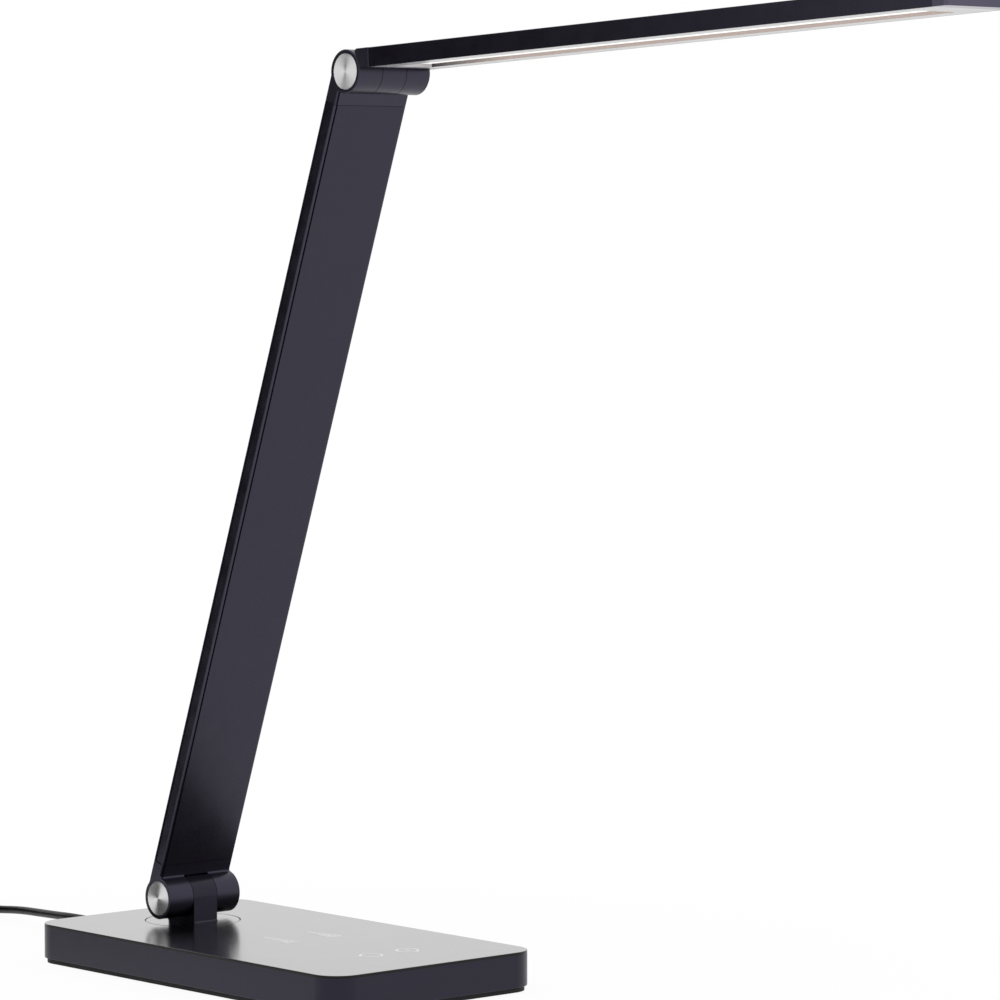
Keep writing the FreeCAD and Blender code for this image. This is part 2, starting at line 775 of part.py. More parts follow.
def make_head_root():
    cheeks = extrude_across(root_outline(), (-barrel_half, barrel_half))
    end_edges = [e for e in edges_along(cheeks, Vector(0, 0, 1))
                 if abs(e.Vertexes[0].X - root_length) < tolerance]
    cheeks = cheeks.makeChamfer(root_end_chamfer, end_edges)
    neck = box((0, root_length), (-knuckle_half, knuckle_half), (head_bottom, head_top))
    neck_round = crosswise(barrel_radius, (-knuckle_half, knuckle_half))
    half = head_inner_half()
    tongue_x = (root_length, root_length + root_tongue_length)
    tongue = box(tongue_x, (-half, half), root_tongue_z_range())
    lead_half = lead_radius + seat_gap
    tongue = tongue.cut(box(tongue_x, (-lead_half, lead_half), root_tongue_z_range()))
    reach = (-knuckle_half, knuckle_half)
    root = fused([cheeks, neck, neck_round, tongue])
    cuts = [crosswise(pin_radius + running_gap + bush_wall + thread_gap, reach)]
    cuts += screw_holes_in(root_tongue_z_range(), head_screw_places()[:2])
    return root.cut(cuts)


def make_head_housing():
    """A channel open downwards."""
    reach = (housing_start, housing_end)
    inner = barrel_half - head_wall
    channel = box(reach, (-barrel_half, barrel_half), (head_bottom, head_top))
    long_edges = edges_along(channel, Vector(1, 0, 0))
    top_edges = [e for e in long_edges if abs(e.Vertexes[0].Z - head_top) < tolerance]
    channel = channel.makeFillet(head_edge_radius, top_edges)
    cuts = [box(reach, (-inner, inner), (head_bottom, housing_ceiling))]
    bite = (housing_ceiling, housing_ceiling + blind_hole_share * head_wall + thread_gap)
    cuts += [upright(small_screw_radius + thread_gap, x, y, bite) for x, y in head_screw_places()]
    return channel.cut(cuts)


def make_head_screws():
    z_range = root_tongue_z_range()
    seat = z_range[0] + small_head_height
    hold = housing_ceiling + blind_hole_share * head_wall - seat
    return [small_screw((x, y, seat), (0, 0, 1), hold) for x, y in head_screw_places()]


def make_head_tip():
    start = head_reach - tip_cap_length
    cap = box((start, head_reach), (-barrel_half, barrel_half), (head_bottom, head_top))
    uprights = edges_along(cap, Vector(0, 0, 1))
    corners = [e for e in uprights if abs(e.Vertexes[0].X - head_reach) < tolerance]
    cap = cap.makeFillet(tip_corner_radius, corners)
    top_edges = edges_at(cap, "Z", head_top)
    cap = cap.makeFillet(head_edge_radius, [e for e in top_edges if e.CenterOfMass.x > start + tolerance])
    half = head_inner_half()
    spigot = box((start - tip_spigot_length, start), (-half, half), root_tongue_z_range())
    return fused([cap, spigot]).cut(screw_holes_in(root_tongue_z_range(), head_screw_places()[2:]))


def make_bezel_frame():
    half = head_inner_half()
    frame = box((housing_start, housing_end), (-half, half), (head_bottom, bezel_top))
    window = rounded_plate((window_start, window_end), (-window_width / 2, window_width / 2),
                           (head_bottom, bezel_top), window_corner_radius)
    return frame.cut(window)


def optics_plate(start, z_range, inset=0.0):
    half = optics_half_width - inset
    return box((start + inset, optics_end - inset), (-half, half), z_range)


def make_diffuser():
    return optics_plate(diffuser_start, (bezel_top, diffuser_top))


def make_reflector_frame():
    z_range = (diffuser_top, led_board_bottom)
    return optics_plate(optics_start, z_range).cut(optics_plate(optics_start, z_range, reflector_wall))


def make_led_board():
    return optics_plate(optics_start, (led_board_bottom, housing_ceiling))


def make_leds():
    room = optics_end - optics_start - 2 * (reflector_wall + swing_gap) - led_length
    count = int(room / led_pitch) + 1
    middle = (optics_start + optics_end) / 2
    leds = []
    for number in range(count):
        x = middle + (number - (count - 1) / 2) * led_pitch
        leds.append(box((x - led_length / 2, x + led_length / 2), (-led_width / 2, led_width / 2),
                        (led_board_bottom - led_height, led_board_bottom)))
    return leds


# Cords and leads
def swept(path, radius):
    """A round tube along a path of edges that run into each other smoothly."""
    start = path[0].valueAt(path[0].FirstParameter)
    heading = path[0].tangentAt(path[0].FirstParameter)
    profile = Part.Wire(Part.Circle(start, heading, radius).toShape())
    return Part.Wire(path).makePipeShell([profile], True, False)


def report_tube(name, tube, path, radius):
    expected = math.pi * radius ** 2 * sum(edge.Length for edge in path)
    print(name, "volume over section times length:", round(tube.Volume / expected, 5))


def rounded_route(name, points):
    """Straight runs joined by tangent arcs, each as large as its two runs allow."""
    edges = []
    radii = []
    here = points[0]
    for before, corner, after in zip(points, points[1:], points[2:]):
        run_in = corner - before
        run_out = after - corner
        reach = bend_share * min(run_in.Length, run_out.Length)
        turn = run_in.getAngle(run_out)
        radii.append(round(reach / math.tan(turn / 2), 1))
        start = corner - run_in.normalize() * reach
        end = corner + run_out.normalize() * reach
        edges.append(line(here, start))
        edges.append(tangent_arc(start, corner, end))
        here = end
    edges.append(line(here, points[-1]))
    print(name, "bend radii:", radii)
    return edges


def routed_tube(name, points, radius):
    path = rounded_route(name, points)
    tube = swept(path, radius)
    report_tube(name, tube, path, radius)
    return tube


def make_lamp_lead():
    """From the control board back to the swivel and up its bore."""
    level = (ballast_top + retainer_bottom) / 2
    fall_start = board_rear - lead_straight
    points = [(board_rear, 0, socket_level), (fall_start, 0, socket_level),
              (fall_start - lead_fall, 0, level + lead_radius), (fall_start - 2 * lead_fall, 0, level),
              (stem_x, 0, level), (stem_x, 0, level + lead_rise)]
    return routed_tube("lamp lead", [Vector(*p) for p in points], lead_radius)


def make_supply_lead():
    """From the power inlet round the swivel's well to the control board."""
    level = (ballast_top + well_floor_bottom) / 2
    side = -well_radius - well_wall - 5 * lead_radius
    start_x = rear_face + shell_wall + jack_depth
    points = [(start_x, -2, jack_height), (start_x + 5, -2, jack_height), (start_x + 10, -5, level),
              (start_x + 15, -14, level), (stem_x - 10, side, level), (stem_x + 10, side - 1, level),
              (stem_x + 30, supply_socket_y - 6, level),
              (board_rear - lead_straight, supply_socket_y, socket_level),
              (board_rear, supply_socket_y, socket_level)]
    return routed_tube("supply lead", [Vector(*p) for p in points], lead_radius)


def make_head_lead():
    """From the root through its tongue, lying on the diffuser's unlit end, to the LED board's end."""
    level = diffuser_top + seat_gap + lead_radius
    return rod(lead_radius, (root_length + seam_gap, 0, level), (optics_start - swing_gap, 0, level))


def make_plug_barrel():
    reach = ((plug_face, 0, jack_height), (plug_face + plug_barrel_length, 0, jack_height))
    return rod(plug_barrel_radius, *reach).cut(rod(plug_pin_radius + running_gap, *reach))


def make_plug_grip():
    """The plug's moulded grip and its tapering boot."""
    grip_end = plug_face - plug_grip_length
    grip = rod(plug_grip_radius, (plug_face, 0, jack_height), (grip_end, 0, jack_height))
    grip = grip.makeFillet(plug_grip_radius - plug_boot_radius, edges_at(grip, "X", grip_end))
    boot = cone(plug_boot_radius, cord_radius + boot_tip_wall,
                (grip_end, 0, jack_height), (boot_end, 0, jack_height))
    return fused([grip, boot])


def make_power_cord():
    return routed_tube("power cord", cord_route, cord_radius)


def ease(share):
    """Goes from 0 to 1 with no jerk at either end."""
    share = min(max(share, 0.0), 1.0)
    return share * share * (3 - 2 * share)


def coil_point(turn):
    """The coil's centre line: spirals in and out, layer on layer, then a step out and down to the plug."""
    layer, along = divmod(min(turn, coil_turns - tolerance) / coil_turns_per_layer, 1.0)
    inward = along if layer % 2 == 0 else 1 - along
    radius = coil_outer_radius - (coil_outer_radius - coil_inner_radius) * inward
    climbs = sum(ease((turn - number * coil_turns_per_layer) / coil_climb_turns + 0.5)
                 for number in range(1, coil_layers))
    height = coil_floor + climbs * coil_pitch
    past_end = turn - coil_turns
    if past_end > 0:
        radius += coil_exit_step * ease(past_end / coil_step_turns)
        height += (usb_grip_thickness / 2 - height) * ease((past_end - coil_drop_start) / coil_drop_turns)
    angle = math.radians(90 + 360 * turn)
    return coil_centre + Vector(radius * math.cos(angle), radius * math.sin(angle), height - coil_floor)


def coil_heading(turn):
    step = 0.06
    return (coil_point(turn + step) - coil_point(turn - step)).normalize()


def biarc(start, start_heading, end, end_heading):
    """Two arcs that join two points with given headings and meet smoothly."""
    chord = end - start
    total = start_heading + end_heading
    a = 2 * (1 - start_heading.dot(end_heading))
    b = chord.dot(total)
    reach = (math.sqrt(b * b + a * chord.dot(chord)) - b) / a
    corner_one = start + start_heading * reach
    corner_two = end - end_heading * reach
    meeting = (corner_one + corner_two) * 0.5
    return [tangent_arc(start, corner_one, meeting), tangent_arc(meeting, corner_two, end)]


def coil_path():
    """Straight in, the turns as biarcs of a quarter turn, the half turn down beside them, straight out."""
    steps = int(round((coil_turns + coil_exit_turns) * 4))
    knots = [coil_point(k / 4) for k in range(steps + 1)]
    headings = [coil_heading(k / 4) for k in range(steps + 1)]
    headings[0] = Vector(-1, 0, 0)
    headings[-1] = Vector(1, 0, 0)
    edges = [line(knots[0] - headings[0] * cord_diameter, knots[0])]
    for k in range(steps):
        edges += biarc(knots[k], headings[k], knots[k + 1], headings[k + 1])
    edges.append(line(knots[-1], knots[-1] + headings[-1] * cord_diameter))
    return edges


def print_coil_gap(path):
    """The least clear gap between two turns, measured on points along the path."""
    samples = 6
    points = []
    travel = 0.0
    for edge in path:
        for number in range(samples):
            along = edge.Length * number / samples
            points.append((travel + along, edge.valueAt(edge.getParameterByLength(along))))
        travel += edge.Length
    nearest = min((q - p).Length for i, (s, p) in enumerate(points) for t, q in points[i + 1:]
                  if t - s > 2 * coil_inner_radius)
    print("cord coil least gap to itself:", round(nearest - cord_diameter, 3), "length:", round(travel, 1))


def make_cord_coil():
    path = coil_path()
    print_coil_gap(path)
    coil = swept(path, cord_radius)
    report_tube("cord coil", coil, path, cord_radius)
    return coil


def rounded_sleeve_block(x_range, y_range, z_range, corner_radius):
    """A block with its edges along Y rounded."""
    block = box(x_range, y_range, z_range)
    return block.makeFillet(corner_radius, edges_along(block, Vector(0, 1, 0)))


def make_cord_tie():
    """A strap round the bundle of turns, on the side away from the cord's two ends."""
    nearest = math.sqrt((coil_inner_radius - cord_radius) ** 2 - (tie_width / 2) ** 2)
    inner_x = (coil_centre.x + nearest - tie_gap, coil_centre.x + coil_outer_radius + cord_radius + tie_gap)
    top = coil_floor + (coil_layers - 1) * coil_pitch + cord_radius + tie_gap
    inner_z = (tie_thickness, top)
    y_range = (coil_centre.y - tie_width / 2, coil_centre.y + tie_width / 2)
    outer_x = (inner_x[0] - tie_thickness, inner_x[1] + tie_thickness)
    outer_z = (0.0, top + tie_thickness)
    outer = rounded_sleeve_block(outer_x, y_range, outer_z, cord_radius + tie_thickness)
    return outer.cut(rounded_sleeve_block(inner_x, y_range, inner_z, cord_radius))


def usb_start():
    """Where the coil's straight end meets the plug's boot."""
    return coil_point(coil_turns + coil_exit_turns) + Vector(cord_diameter, 0, 0)


def make_usb_grip():
    start = usb_start()
    grip_start = start.x + plug_boot_length
    grip_end = grip_start + usb_grip_length
    half = usb_grip_width / 2
    grip = box((grip_start, grip_end), (start.y - half, start.y + half), (0, usb_grip_thickness))
    grip = grip.makeFillet(usb_edge_radius, edges_along(grip, Vector(1, 0, 0)))
    grip = grip.makeFillet(usb_edge_radius / 2, edges_at(grip, "X", grip_start))
    boot = cone(cord_radius + boot_tip_wall, plug_boot_radius, start, Vector(grip_start, start.y, start.z))
    return fused([grip, boot])


def usb_front():
    return usb_start().x + plug_boot_length + usb_grip_length


def usb_block(x_range, width, thickness):
    middle = usb_start()
    return box(x_range, (middle.y - width / 2, middle.y + width / 2),
               (middle.z - thickness / 2, middle.z + thickness / 2))


def make_usb_shell():
    reach = (usb_front(), usb_front() + usb_shell_length)
    sleeve = usb_block(reach, usb_shell_width, usb_shell_thickness)
    opening = usb_block(reach, usb_shell_width - 2 * usb_shell_wall, usb_shell_thickness - 2 * usb_shell_wall)
    return sleeve.cut(opening)


def make_usb_tongue():
    """The plastic tongue lies against one wall of the shell and leaves the other half open."""
    inner = usb_shell_width - 2 * usb_shell_wall - 2 * seat_gap
    reach = (usb_front(), usb_front() + usb_shell_length - seat_gap)
    tongue = usb_block(reach, inner, usb_tongue_thickness)
    wall_inside = usb_shell_thickness / 2 - usb_shell_wall
    tongue.translate(Vector(0, 0, wall_inside - seat_gap - usb_tongue_thickness / 2))
    return tongue


# Places of the sub-assemblies
lower_hinge = Vector(stem_x, 0, lower_axis_height)
arm_place = Placement(lower_hinge, Rotation(Vector(0, 1, 0), arm_lean))
upper_hinge = arm_place.multVec(Vector(0, 0, arm_span))
head_place = Placement(upper_hinge, Rotation(Vector(0, 1, 0), -head_rise))
upper_hinge_on_arm = Placement(Vector(0, 0, arm_span), Rotation())


def placed(shape, place):
    """Move a solid, or each solid of a group."""
    if isinstance(shape, list):
        return [placed(member, place) for member in shape]
    moved = shape.copy()
    moved.Placement = place.multiply(moved.Placement)
    return moved


def hinge_nodes(name, place):
    """What the arm carries at one hinge: its pin, spring washers, nut and two caps."""
    nodes = {
        name + "_hinge_pin": make_pin(),
        name + "_spring_washers": make_spring_washers(),
        name + "_hinge_nut": make_nut(),
        name + "_cap_right": make_cap(-1),
        name + "_cap_left": make_cap(1),
    }
    return {node: placed(shape, place) for node, shape in nodes.items()}


def base_nodes():
    return {
        "base_shell": make_base_shell(),
        "touch_panel": make_touch_panel(),
        "bottom_cover": make_bottom_cover(),
        "non_slip_pad": make_non_slip_pad(),
        "ballast_plate": make_ballast_plate(),
        "cover_screws": make_cover_screws(),
        "control_board": make_control_board(),
        "board_components": make_board_components(),
        "board_screws": make_board_screws(),
        "touch_electrodes": make_touch_electrodes(),
        "dc_jack": make_dc_jack(),
        "supply_lead": make_supply_lead(),
        "lamp_lead": make_lamp_lead(),
        "thrust_washer": make_thrust_washer(),
    }


def cord_nodes():
    return {
        "dc_plug_barrel": make_plug_barrel(),
        "dc_plug_grip": make_plug_grip(),
        "power_cord": make_power_cord(),
        "cord_coil": make_cord_coil(),
        "cord_tie": make_cord_tie(),
        "usb_plug_grip": make_usb_grip(),
        "usb_plug_shell": make_usb_shell(),
        "usb_plug_tongue": make_usb_tongue(),
    }


def swivel_nodes():
    return {
        "turntable": make_turntable(),
        "hinge_post": make_hinge_post(),
        "post_screws": make_post_screws(),
        "friction_washer": make_friction_washer(),
        "retainer_plate": make_retainer_plate(),
        "retainer_screws": make_retainer_screws(),
        "lower_hinge_bush": placed(make_bush(), Placement(lower_hinge, Rotation())),
    }


def arm_nodes():
    lower_yoke = make_lower_yoke()
    nodes = {
        "lower_yoke": lower_yoke,
        "upper_yoke": flip_to_upper(lower_yoke),
        "arm_channel": make_arm_channel(),
        "arm_cover": make_arm_cover(),
        "yoke_screws": make_yoke_screws(),
        "arm_lead": make_arm_lead(),
    }
    nodes.update(hinge_nodes("lower", Placement()))
    nodes.update(hinge_nodes("upper", upper_hinge_on_arm))
    return {node: placed(shape, arm_place) for node, shape in nodes.items()}


def head_nodes():
    nodes = {
        "head_root": make_head_root(),
        "head_housing": make_head_housing(),
        "head_tip": make_head_tip(),
        "bezel_frame": make_bezel_frame(),
        "diffuser": make_diffuser(),
        "reflector_frame": make_reflector_frame(),
        "led_board": make_led_board(),
        "leds": make_leds(),
        "head_screws": make_head_screws(),
        "head_lead": make_head_lead(),
        "upper_hinge_bush": make_bush(),
    }
    return {node: placed(shape, head_place) for node, shape in nodes.items()}


def main():
    os.makedirs("parts", exist_ok=True)
    nodes = {}
    for group in (base_nodes(), cord_nodes(), swivel_nodes(), arm_nodes(), head_nodes()):
        nodes.update(group)
    for name, shape in nodes.items():
        if isinstance(shape, list):
            shape = Part.makeCompound(shape)
        shape.exportStep("parts/" + name + ".step")
    print(len(nodes), "nodes; upper hinge at", tuple(round(v, 3) for v in upper_hinge))


main()
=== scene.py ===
import math

import bpy
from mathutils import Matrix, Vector


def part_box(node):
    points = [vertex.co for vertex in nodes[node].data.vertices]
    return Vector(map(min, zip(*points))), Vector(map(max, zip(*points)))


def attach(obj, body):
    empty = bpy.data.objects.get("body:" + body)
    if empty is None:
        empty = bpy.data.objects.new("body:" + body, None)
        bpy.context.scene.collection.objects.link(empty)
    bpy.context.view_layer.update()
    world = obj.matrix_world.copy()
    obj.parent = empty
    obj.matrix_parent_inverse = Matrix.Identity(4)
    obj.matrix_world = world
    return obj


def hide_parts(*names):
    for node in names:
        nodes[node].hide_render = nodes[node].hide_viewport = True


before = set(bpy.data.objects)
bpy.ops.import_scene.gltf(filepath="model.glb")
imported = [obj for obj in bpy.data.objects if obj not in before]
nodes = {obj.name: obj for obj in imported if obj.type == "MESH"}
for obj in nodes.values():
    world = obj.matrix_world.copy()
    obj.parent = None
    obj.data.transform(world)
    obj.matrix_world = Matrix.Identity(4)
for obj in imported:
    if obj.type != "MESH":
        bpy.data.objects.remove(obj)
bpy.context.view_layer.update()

# A black folding desk lamp. Lengths are metres in the frame's own axes: X forwards, Y left, Z up.

# Camera, as fitted to the photograph
CAMERA_PLACE = (1.55778, -1.26542, 0.32368)
CAMERA_TURN = 48.224
CAMERA_DIP = 3.372
CAMERA_LENS = 168.79
SENSOR_WIDTH = 36.0

# Cord: the route of its solids, then the coil's turns
CORD_DIAMETER = 0.0036
CORD_ROUNDNESS = 5
CORD_SMOOTHNESS = 6
CORD_ORDER = 3
BOOT_END = (-0.13565, 0.0, 0.009)
COIL_FLOOR = 0.00295
CORD_ROUTE = [
    BOOT_END,
    (-0.150, 0.0, 0.009),
    (-0.168, 0.003, 0.0077),
    (-0.186, 0.0068, 0.0065),
    (-0.206, 0.0104, 0.0052),
    (-0.226, 0.0126, COIL_FLOOR),
    (-0.240, 0.0126, COIL_FLOOR),
]
COIL_INNER_RADIUS = 0.013
COIL_PITCH = 0.00425
COIL_TURNS_PER_LAYER = 2.75
COIL_LAYERS = 4
COIL_CLIMB_TURNS = 0.5
COIL_EXIT_STEP = 0.0056
COIL_EXIT_TURNS = 0.5
COIL_STEP_TURNS = 0.25
COIL_DROP_START = 0.05
COIL_DROP_TURNS = 0.4
COIL_POINTS_PER_TURN = 24
COIL_END_MARGIN = 1e-6
PLUG_LEVEL = 0.004

# Arm: half its width, and how deep the groove along each side is
ARM_HALF_WIDTH = 0.01945
GROOVE_DEPTH = 0.0004
# The groove floor's colour is a painted shade, darker for the shadow inside the groove
GROOVE_PAINTED_SHADE = (0.0005, 0.0005, 0.0008)
GROOVE_SMOOTHER = -0.06

# A face counts as a side wall where its normal's Y share is beyond this
SIDE_WALL = 0.9

# Satin black: almost no colour of its own, and a cool sheen
SATIN_DARK = (0.0010, 0.0008, 0.0017)
SATIN_LIGHT = (0.0018, 0.0015, 0.0030)
SHEEN_LEVEL = 0.88
CASTING_SHEEN_LEVEL = 0.74
# The hinge post's paint is the casting paint with a lower sheen, a painted shade that makes the post darker
POST_PAINTED_SHADE_SHEEN_LEVEL = 0.45
COVER_SHEEN_LEVEL = 0.64
SHELL_SHEEN_LEVEL = 0.50
DULL_SHEEN_LEVEL = 0.2
SHEEN_TINT = (0.73, 0.67, 1.0)
SATIN_GRAIN_DEPTH = 0.00002
SATIN_GRAIN_STRENGTH = 0.2
ANODISED_ROUGHNESS = (0.26, 0.32)
TIP_DARK = (0.040, 0.036, 0.055)
TIP_LIGHT = (0.048, 0.043, 0.065)

# Moulded plastic and rubber
MOULDED_SHEEN_LEVEL = 0.5
MOULDED_GRAIN_DEPTH = 0.00005
MOULDED_GRAIN_STRENGTH = 0.4

# Patterns, as cloudy patches, streaks or grains per metre; the sheen's patches are finer than the colour's
SHEEN_FINENESS = 3.1
PATCH_DETAIL = 3.0
GRAIN_DETAIL = 2.0
SATIN_PATCHES = 45.0
SATIN_GRAIN = 2600.0
CHANNEL_SHEEN_PATCHES = 140.0
PANEL_PATCHES = 30.0
MOULDED_PATCHES = 80.0
MOULDED_GRAIN = 2200.0
METAL_STREAKS = 900.0
SPUN_GRAIN = 2400.0
FRAME_PATCHES = 60.0
FRAME_SHEEN_PATCHES = 150.0
DIFFUSER_PATCHES = 120.0
GLOW_PATCHES = 25.0
PAPER_PATCHES = 1.5

# Spun caps; a quarter turn of the anisotropy fans the highlight out from the middle
SPUN_DARK = (0.96, 0.96, 0.97)
SPUN_LIGHT = (1.0, 1.0, 1.0)
SPUN_ROUGHNESS = (0.52, 0.56)
SPUN_TURN = 0.25

# Panel: black under a clear lacquer, which is on the top face only
PANEL_DARK = (0.0010, 0.0010, 0.0014)
PANEL_LIGHT = (0.0020, 0.0020, 0.0026)
PANEL_ROUGHNESS = (0.20, 0.215)
PANEL_SHEEN_LEVEL = 0.25
LACQUER_ROUGHNESS = 0.2
LACQUER_IOR = 1.5
LACQUER_FACING = (0.3, 0.7)

# Lit window under the head, its pale frame and its walls, whose colour is painted light: painted shade where
# the window starts, painted warm LED light further along
WINDOW_START_X = 0.087
WALL_PAINTED_LIGHT_FULL_X = 0.135
FRAME_DARK = (0.44, 0.43, 0.44)
FRAME_LIGHT = (0.50, 0.49, 0.50)
FRAME_ROUGHNESS = (0.22, 0.26)
# The window walls' colours are painted light: a painted shade where the window starts, a painted warm LED
# light further along
WALL_PAINTED_SHADE = (0.01, 0.01, 0.014)
WALL_PAINTED_WARM_LIGHT = (0.46, 0.38, 0.35)
DIFFUSER_DARK = (0.86, 0.86, 0.85)
DIFFUSER_LIGHT = (0.92, 0.92, 0.91)
DIFFUSER_ROUGHNESS = (0.35, 0.45)
DIFFUSER_GLOW = 0.45
GLOW_WARM = (1.0, 0.97, 0.93)
GLOW_WHITE = (1.0, 0.98, 0.95)

# Printed marks on the touch panel
INK_DARK = (0.88, 0.88, 0.89)
INK_LIGHT = (0.95, 0.95, 0.96)
INK_ROUGHNESS = (0.20, 0.25)
MARK_HEIGHT = 0.00002
MARK_LINE = 0.0008
KEY_RADIUS = 0.00465
KEY_X = 0.0677
KEY_YS = (-0.0067, 0.0133)
KEY_DASH_HALF = 0.0018
RING_SEGMENTS = 96
SCALE_LINE = 0.0012
SCALE_X = 0.009
SCALE_YS = (-0.0086, 0.0152)
SCALE_STROKES = 7
SCALE_PITCH = 0.0028
SCALE_SHORTEST_HALF = 0.0012
SCALE_GROWTH = 0.0004

# Studio: a round white paper, and a dark sheet far off; turns in degrees, heights as shares of the distance
FLOOR_RADIUS = 0.36
FLOOR_LEVEL = -0.00002
FLOOR_CORNERS = 96
FLOOR_WASH = 0.94
FLOOR_FADE = (0.20, 0.35)
PAPER_DARK = (0.90, 0.90, 0.90)
PAPER_LIGHT = (0.93, 0.93, 0.93)
FLAG_BLACK = (0.005, 0.005, 0.005, 1.0)
FLAG_DISTANCE = 14.0
FLAG_STEPS = 16
DARK_TOWARDS = 33.5
DARK_CORE = 8.0
DARK_EDGE = 20.0
DARK_DEPTH = 0.98
DARK_TOP = (0.85, 0.5)
DARK_BOTTOM = (-0.19, -0.145)

# Sockets of a Mix node that mixes colours, by number
MIX_FACTOR = 0
MIX_ONE = 6
MIX_OTHER = 7
MIX_RESULT = 2


# Helpers
def mesh_object(name, points, faces, material):
    """A new object of one material, put into the scene."""
    mesh = bpy.data.meshes.new(name)
    mesh.from_pydata(points, [], faces)
    mesh.materials.append(material)
    piece = bpy.data.objects.new(name, mesh)
    bpy.context.scene.collection.objects.link(piece)
    return piece


def new_material(name):
    """A material, its nodes and its main shader."""
    material = bpy.data.materials.new(name)
    material.use_nodes = True
    tree = material.node_tree
    return material, tree, tree.nodes["Principled BSDF"]


def add_node(tree, kind, **settings):
    """A node with its properties set."""
    node = tree.nodes.new(kind)
    for name, value in settings.items():
        setattr(node, name, value)
    return node


def link(tree, source, target):
    """Join an output to an input."""
    tree.links.new(source, target)


def place(tree):
    """Coordinates that stay with the piece, in metres."""
    return add_node(tree, "ShaderNodeTexCoord").outputs["Object"]


def axes(tree, vector):
    """The X, Y and Z shares of a vector."""
    node = add_node(tree, "ShaderNodeSeparateXYZ")
    link(tree, vector, node.inputs["Vector"])
    return node.outputs


def facing(tree):
    """Which way a face looks, in the piece's own axes."""
    return axes(tree, add_node(tree, "ShaderNodeTexCoord").outputs["Normal"])


def noise(tree, scale, detail=PATCH_DETAIL, stretch=None):
    """Soft cloudy noise, from 0 to 1."""
    coordinates = place(tree)
    if stretch is not None:
        mapping = add_node(tree, "ShaderNodeMapping")
        mapping.inputs["Scale"].default_value = stretch
        link(tree, coordinates, mapping.inputs["Vector"])
        coordinates = mapping.outputs["Vector"]
    texture = add_node(tree, "ShaderNodeTexNoise")
    texture.inputs["Scale"].default_value = scale
    texture.inputs["Detail"].default_value = detail
    link(tree, coordinates, texture.inputs["Vector"])
    return texture.outputs["Fac"]


def spread(tree, factor, low, high, start=0.3, end=0.7):
    """Map a noise factor to a range of values."""
    node = add_node(tree, "ShaderNodeMapRange")
    node.inputs["From Min"].default_value = start
    node.inputs["From Max"].default_value = end
    node.inputs["To Min"].default_value = low
    node.inputs["To Max"].default_value = high
    link(tree, factor, node.inputs["Value"])
    return node.outputs["Result"]


def smooth(tree, value, start, end):
    """Go smoothly from 0 at start to 1 at end."""
    node = add_node(tree, "ShaderNodeMapRange", interpolation_type="SMOOTHSTEP")
    node.inputs["From Min"].default_value = start
    node.inputs["From Max"].default_value = end
    link(tree, value, node.inputs["Value"])
    return node.outputs["Result"]


def between(tree, factor, one, other):
    """Mix two colours."""
    node = add_node(tree, "ShaderNodeMix", data_type="RGBA")
    for socket, value in ((node.inputs[MIX_ONE], one), (node.inputs[MIX_OTHER], other)):
        if isinstance(value, bpy.types.NodeSocket):
            link(tree, value, socket)
        else:
            socket.default_value = (*value, 1.0)
    link(tree, factor, node.inputs[MIX_FACTOR])
    return node.outputs[MIX_RESULT]


def math_node(tree, operation, one, other=None):
    """A sum, product or comparison of one or two values."""
    node = add_node(tree, "ShaderNodeMath", operation=operation)
    for socket, value in zip(node.inputs, (one, other)):
        if isinstance(value, bpy.types.NodeSocket):
            link(tree, value, socket)
        elif value is not None:
            socket.default_value = value
    return node.outputs["Value"]


def vector_node(tree, operation, one, other=None):
    """What comes of one vector, or of two where the other is fixed."""
    node = add_node(tree, "ShaderNodeVectorMath", operation=operation)
    link(tree, one, node.inputs[0])
    if other is not None:
        node.inputs[1].default_value = other
    return node.outputs


def side_wall(tree):
    """1 on faces that look to the left or right, 0 elsewhere."""
    return math_node(tree, "GREATER_THAN", math_node(tree, "ABSOLUTE", facing(tree)["Y"]), SIDE_WALL)


def bump(tree, shader, height, distance, strength):
    """Raise a fine skin from a height pattern."""
    node = add_node(tree, "ShaderNodeBump")
    node.inputs["Distance"].default_value = distance
    node.inputs["Strength"].default_value = strength
    link(tree, height, node.inputs["Height"])
    link(tree, node.outputs["Normal"], shader.inputs["Normal"])


def mottle(tree, shader, dark, light, rough, patch_scale):
    """Cloudy colour and sheen, as no moulded or painted face is quite even."""
    patches = noise(tree, patch_scale)
    link(tree, between(tree, spread(tree, patches, 0.0, 1.0), dark, light), shader.inputs["Base Color"])
    link(tree, spread(tree, noise(tree, SHEEN_FINENESS * patch_scale), *rough), shader.inputs["Roughness"])


# Materials
def cool_sheen(shader, level=SHEEN_LEVEL):
    """A sheen with a slight violet cast."""
    shader.inputs["Specular IOR Level"].default_value = level
    shader.inputs["Specular Tint"].default_value = (*SHEEN_TINT, 1.0)


def satin_black(name, rough, dark=SATIN_DARK, light=SATIN_LIGHT, level=SHEEN_LEVEL):
    """Fine satin paint or anodising."""
    material, tree, shader = new_material(name)
    cool_sheen(shader, level)
    mottle(tree, shader, dark, light, rough, SATIN_PATCHES)
    bump(tree, shader, noise(tree, SATIN_GRAIN, GRAIN_DETAIL), SATIN_GRAIN_DEPTH, SATIN_GRAIN_STRENGTH)
    return material


def gloss_black(name):
    """Panel with a clear lacquer on its top face; its cut edge has none."""
    material, tree, shader = new_material(name)
    mottle(tree, shader, PANEL_DARK, PANEL_LIGHT, PANEL_ROUGHNESS, PANEL_PATCHES)
    shader.inputs["Specular IOR Level"].default_value = PANEL_SHEEN_LEVEL
    shader.inputs["Coat Roughness"].default_value = LACQUER_ROUGHNESS
    shader.inputs["Coat IOR"].default_value = LACQUER_IOR
    link(tree, smooth(tree, facing(tree)["Z"], *LACQUER_FACING), shader.inputs["Coat Weight"])
    return material


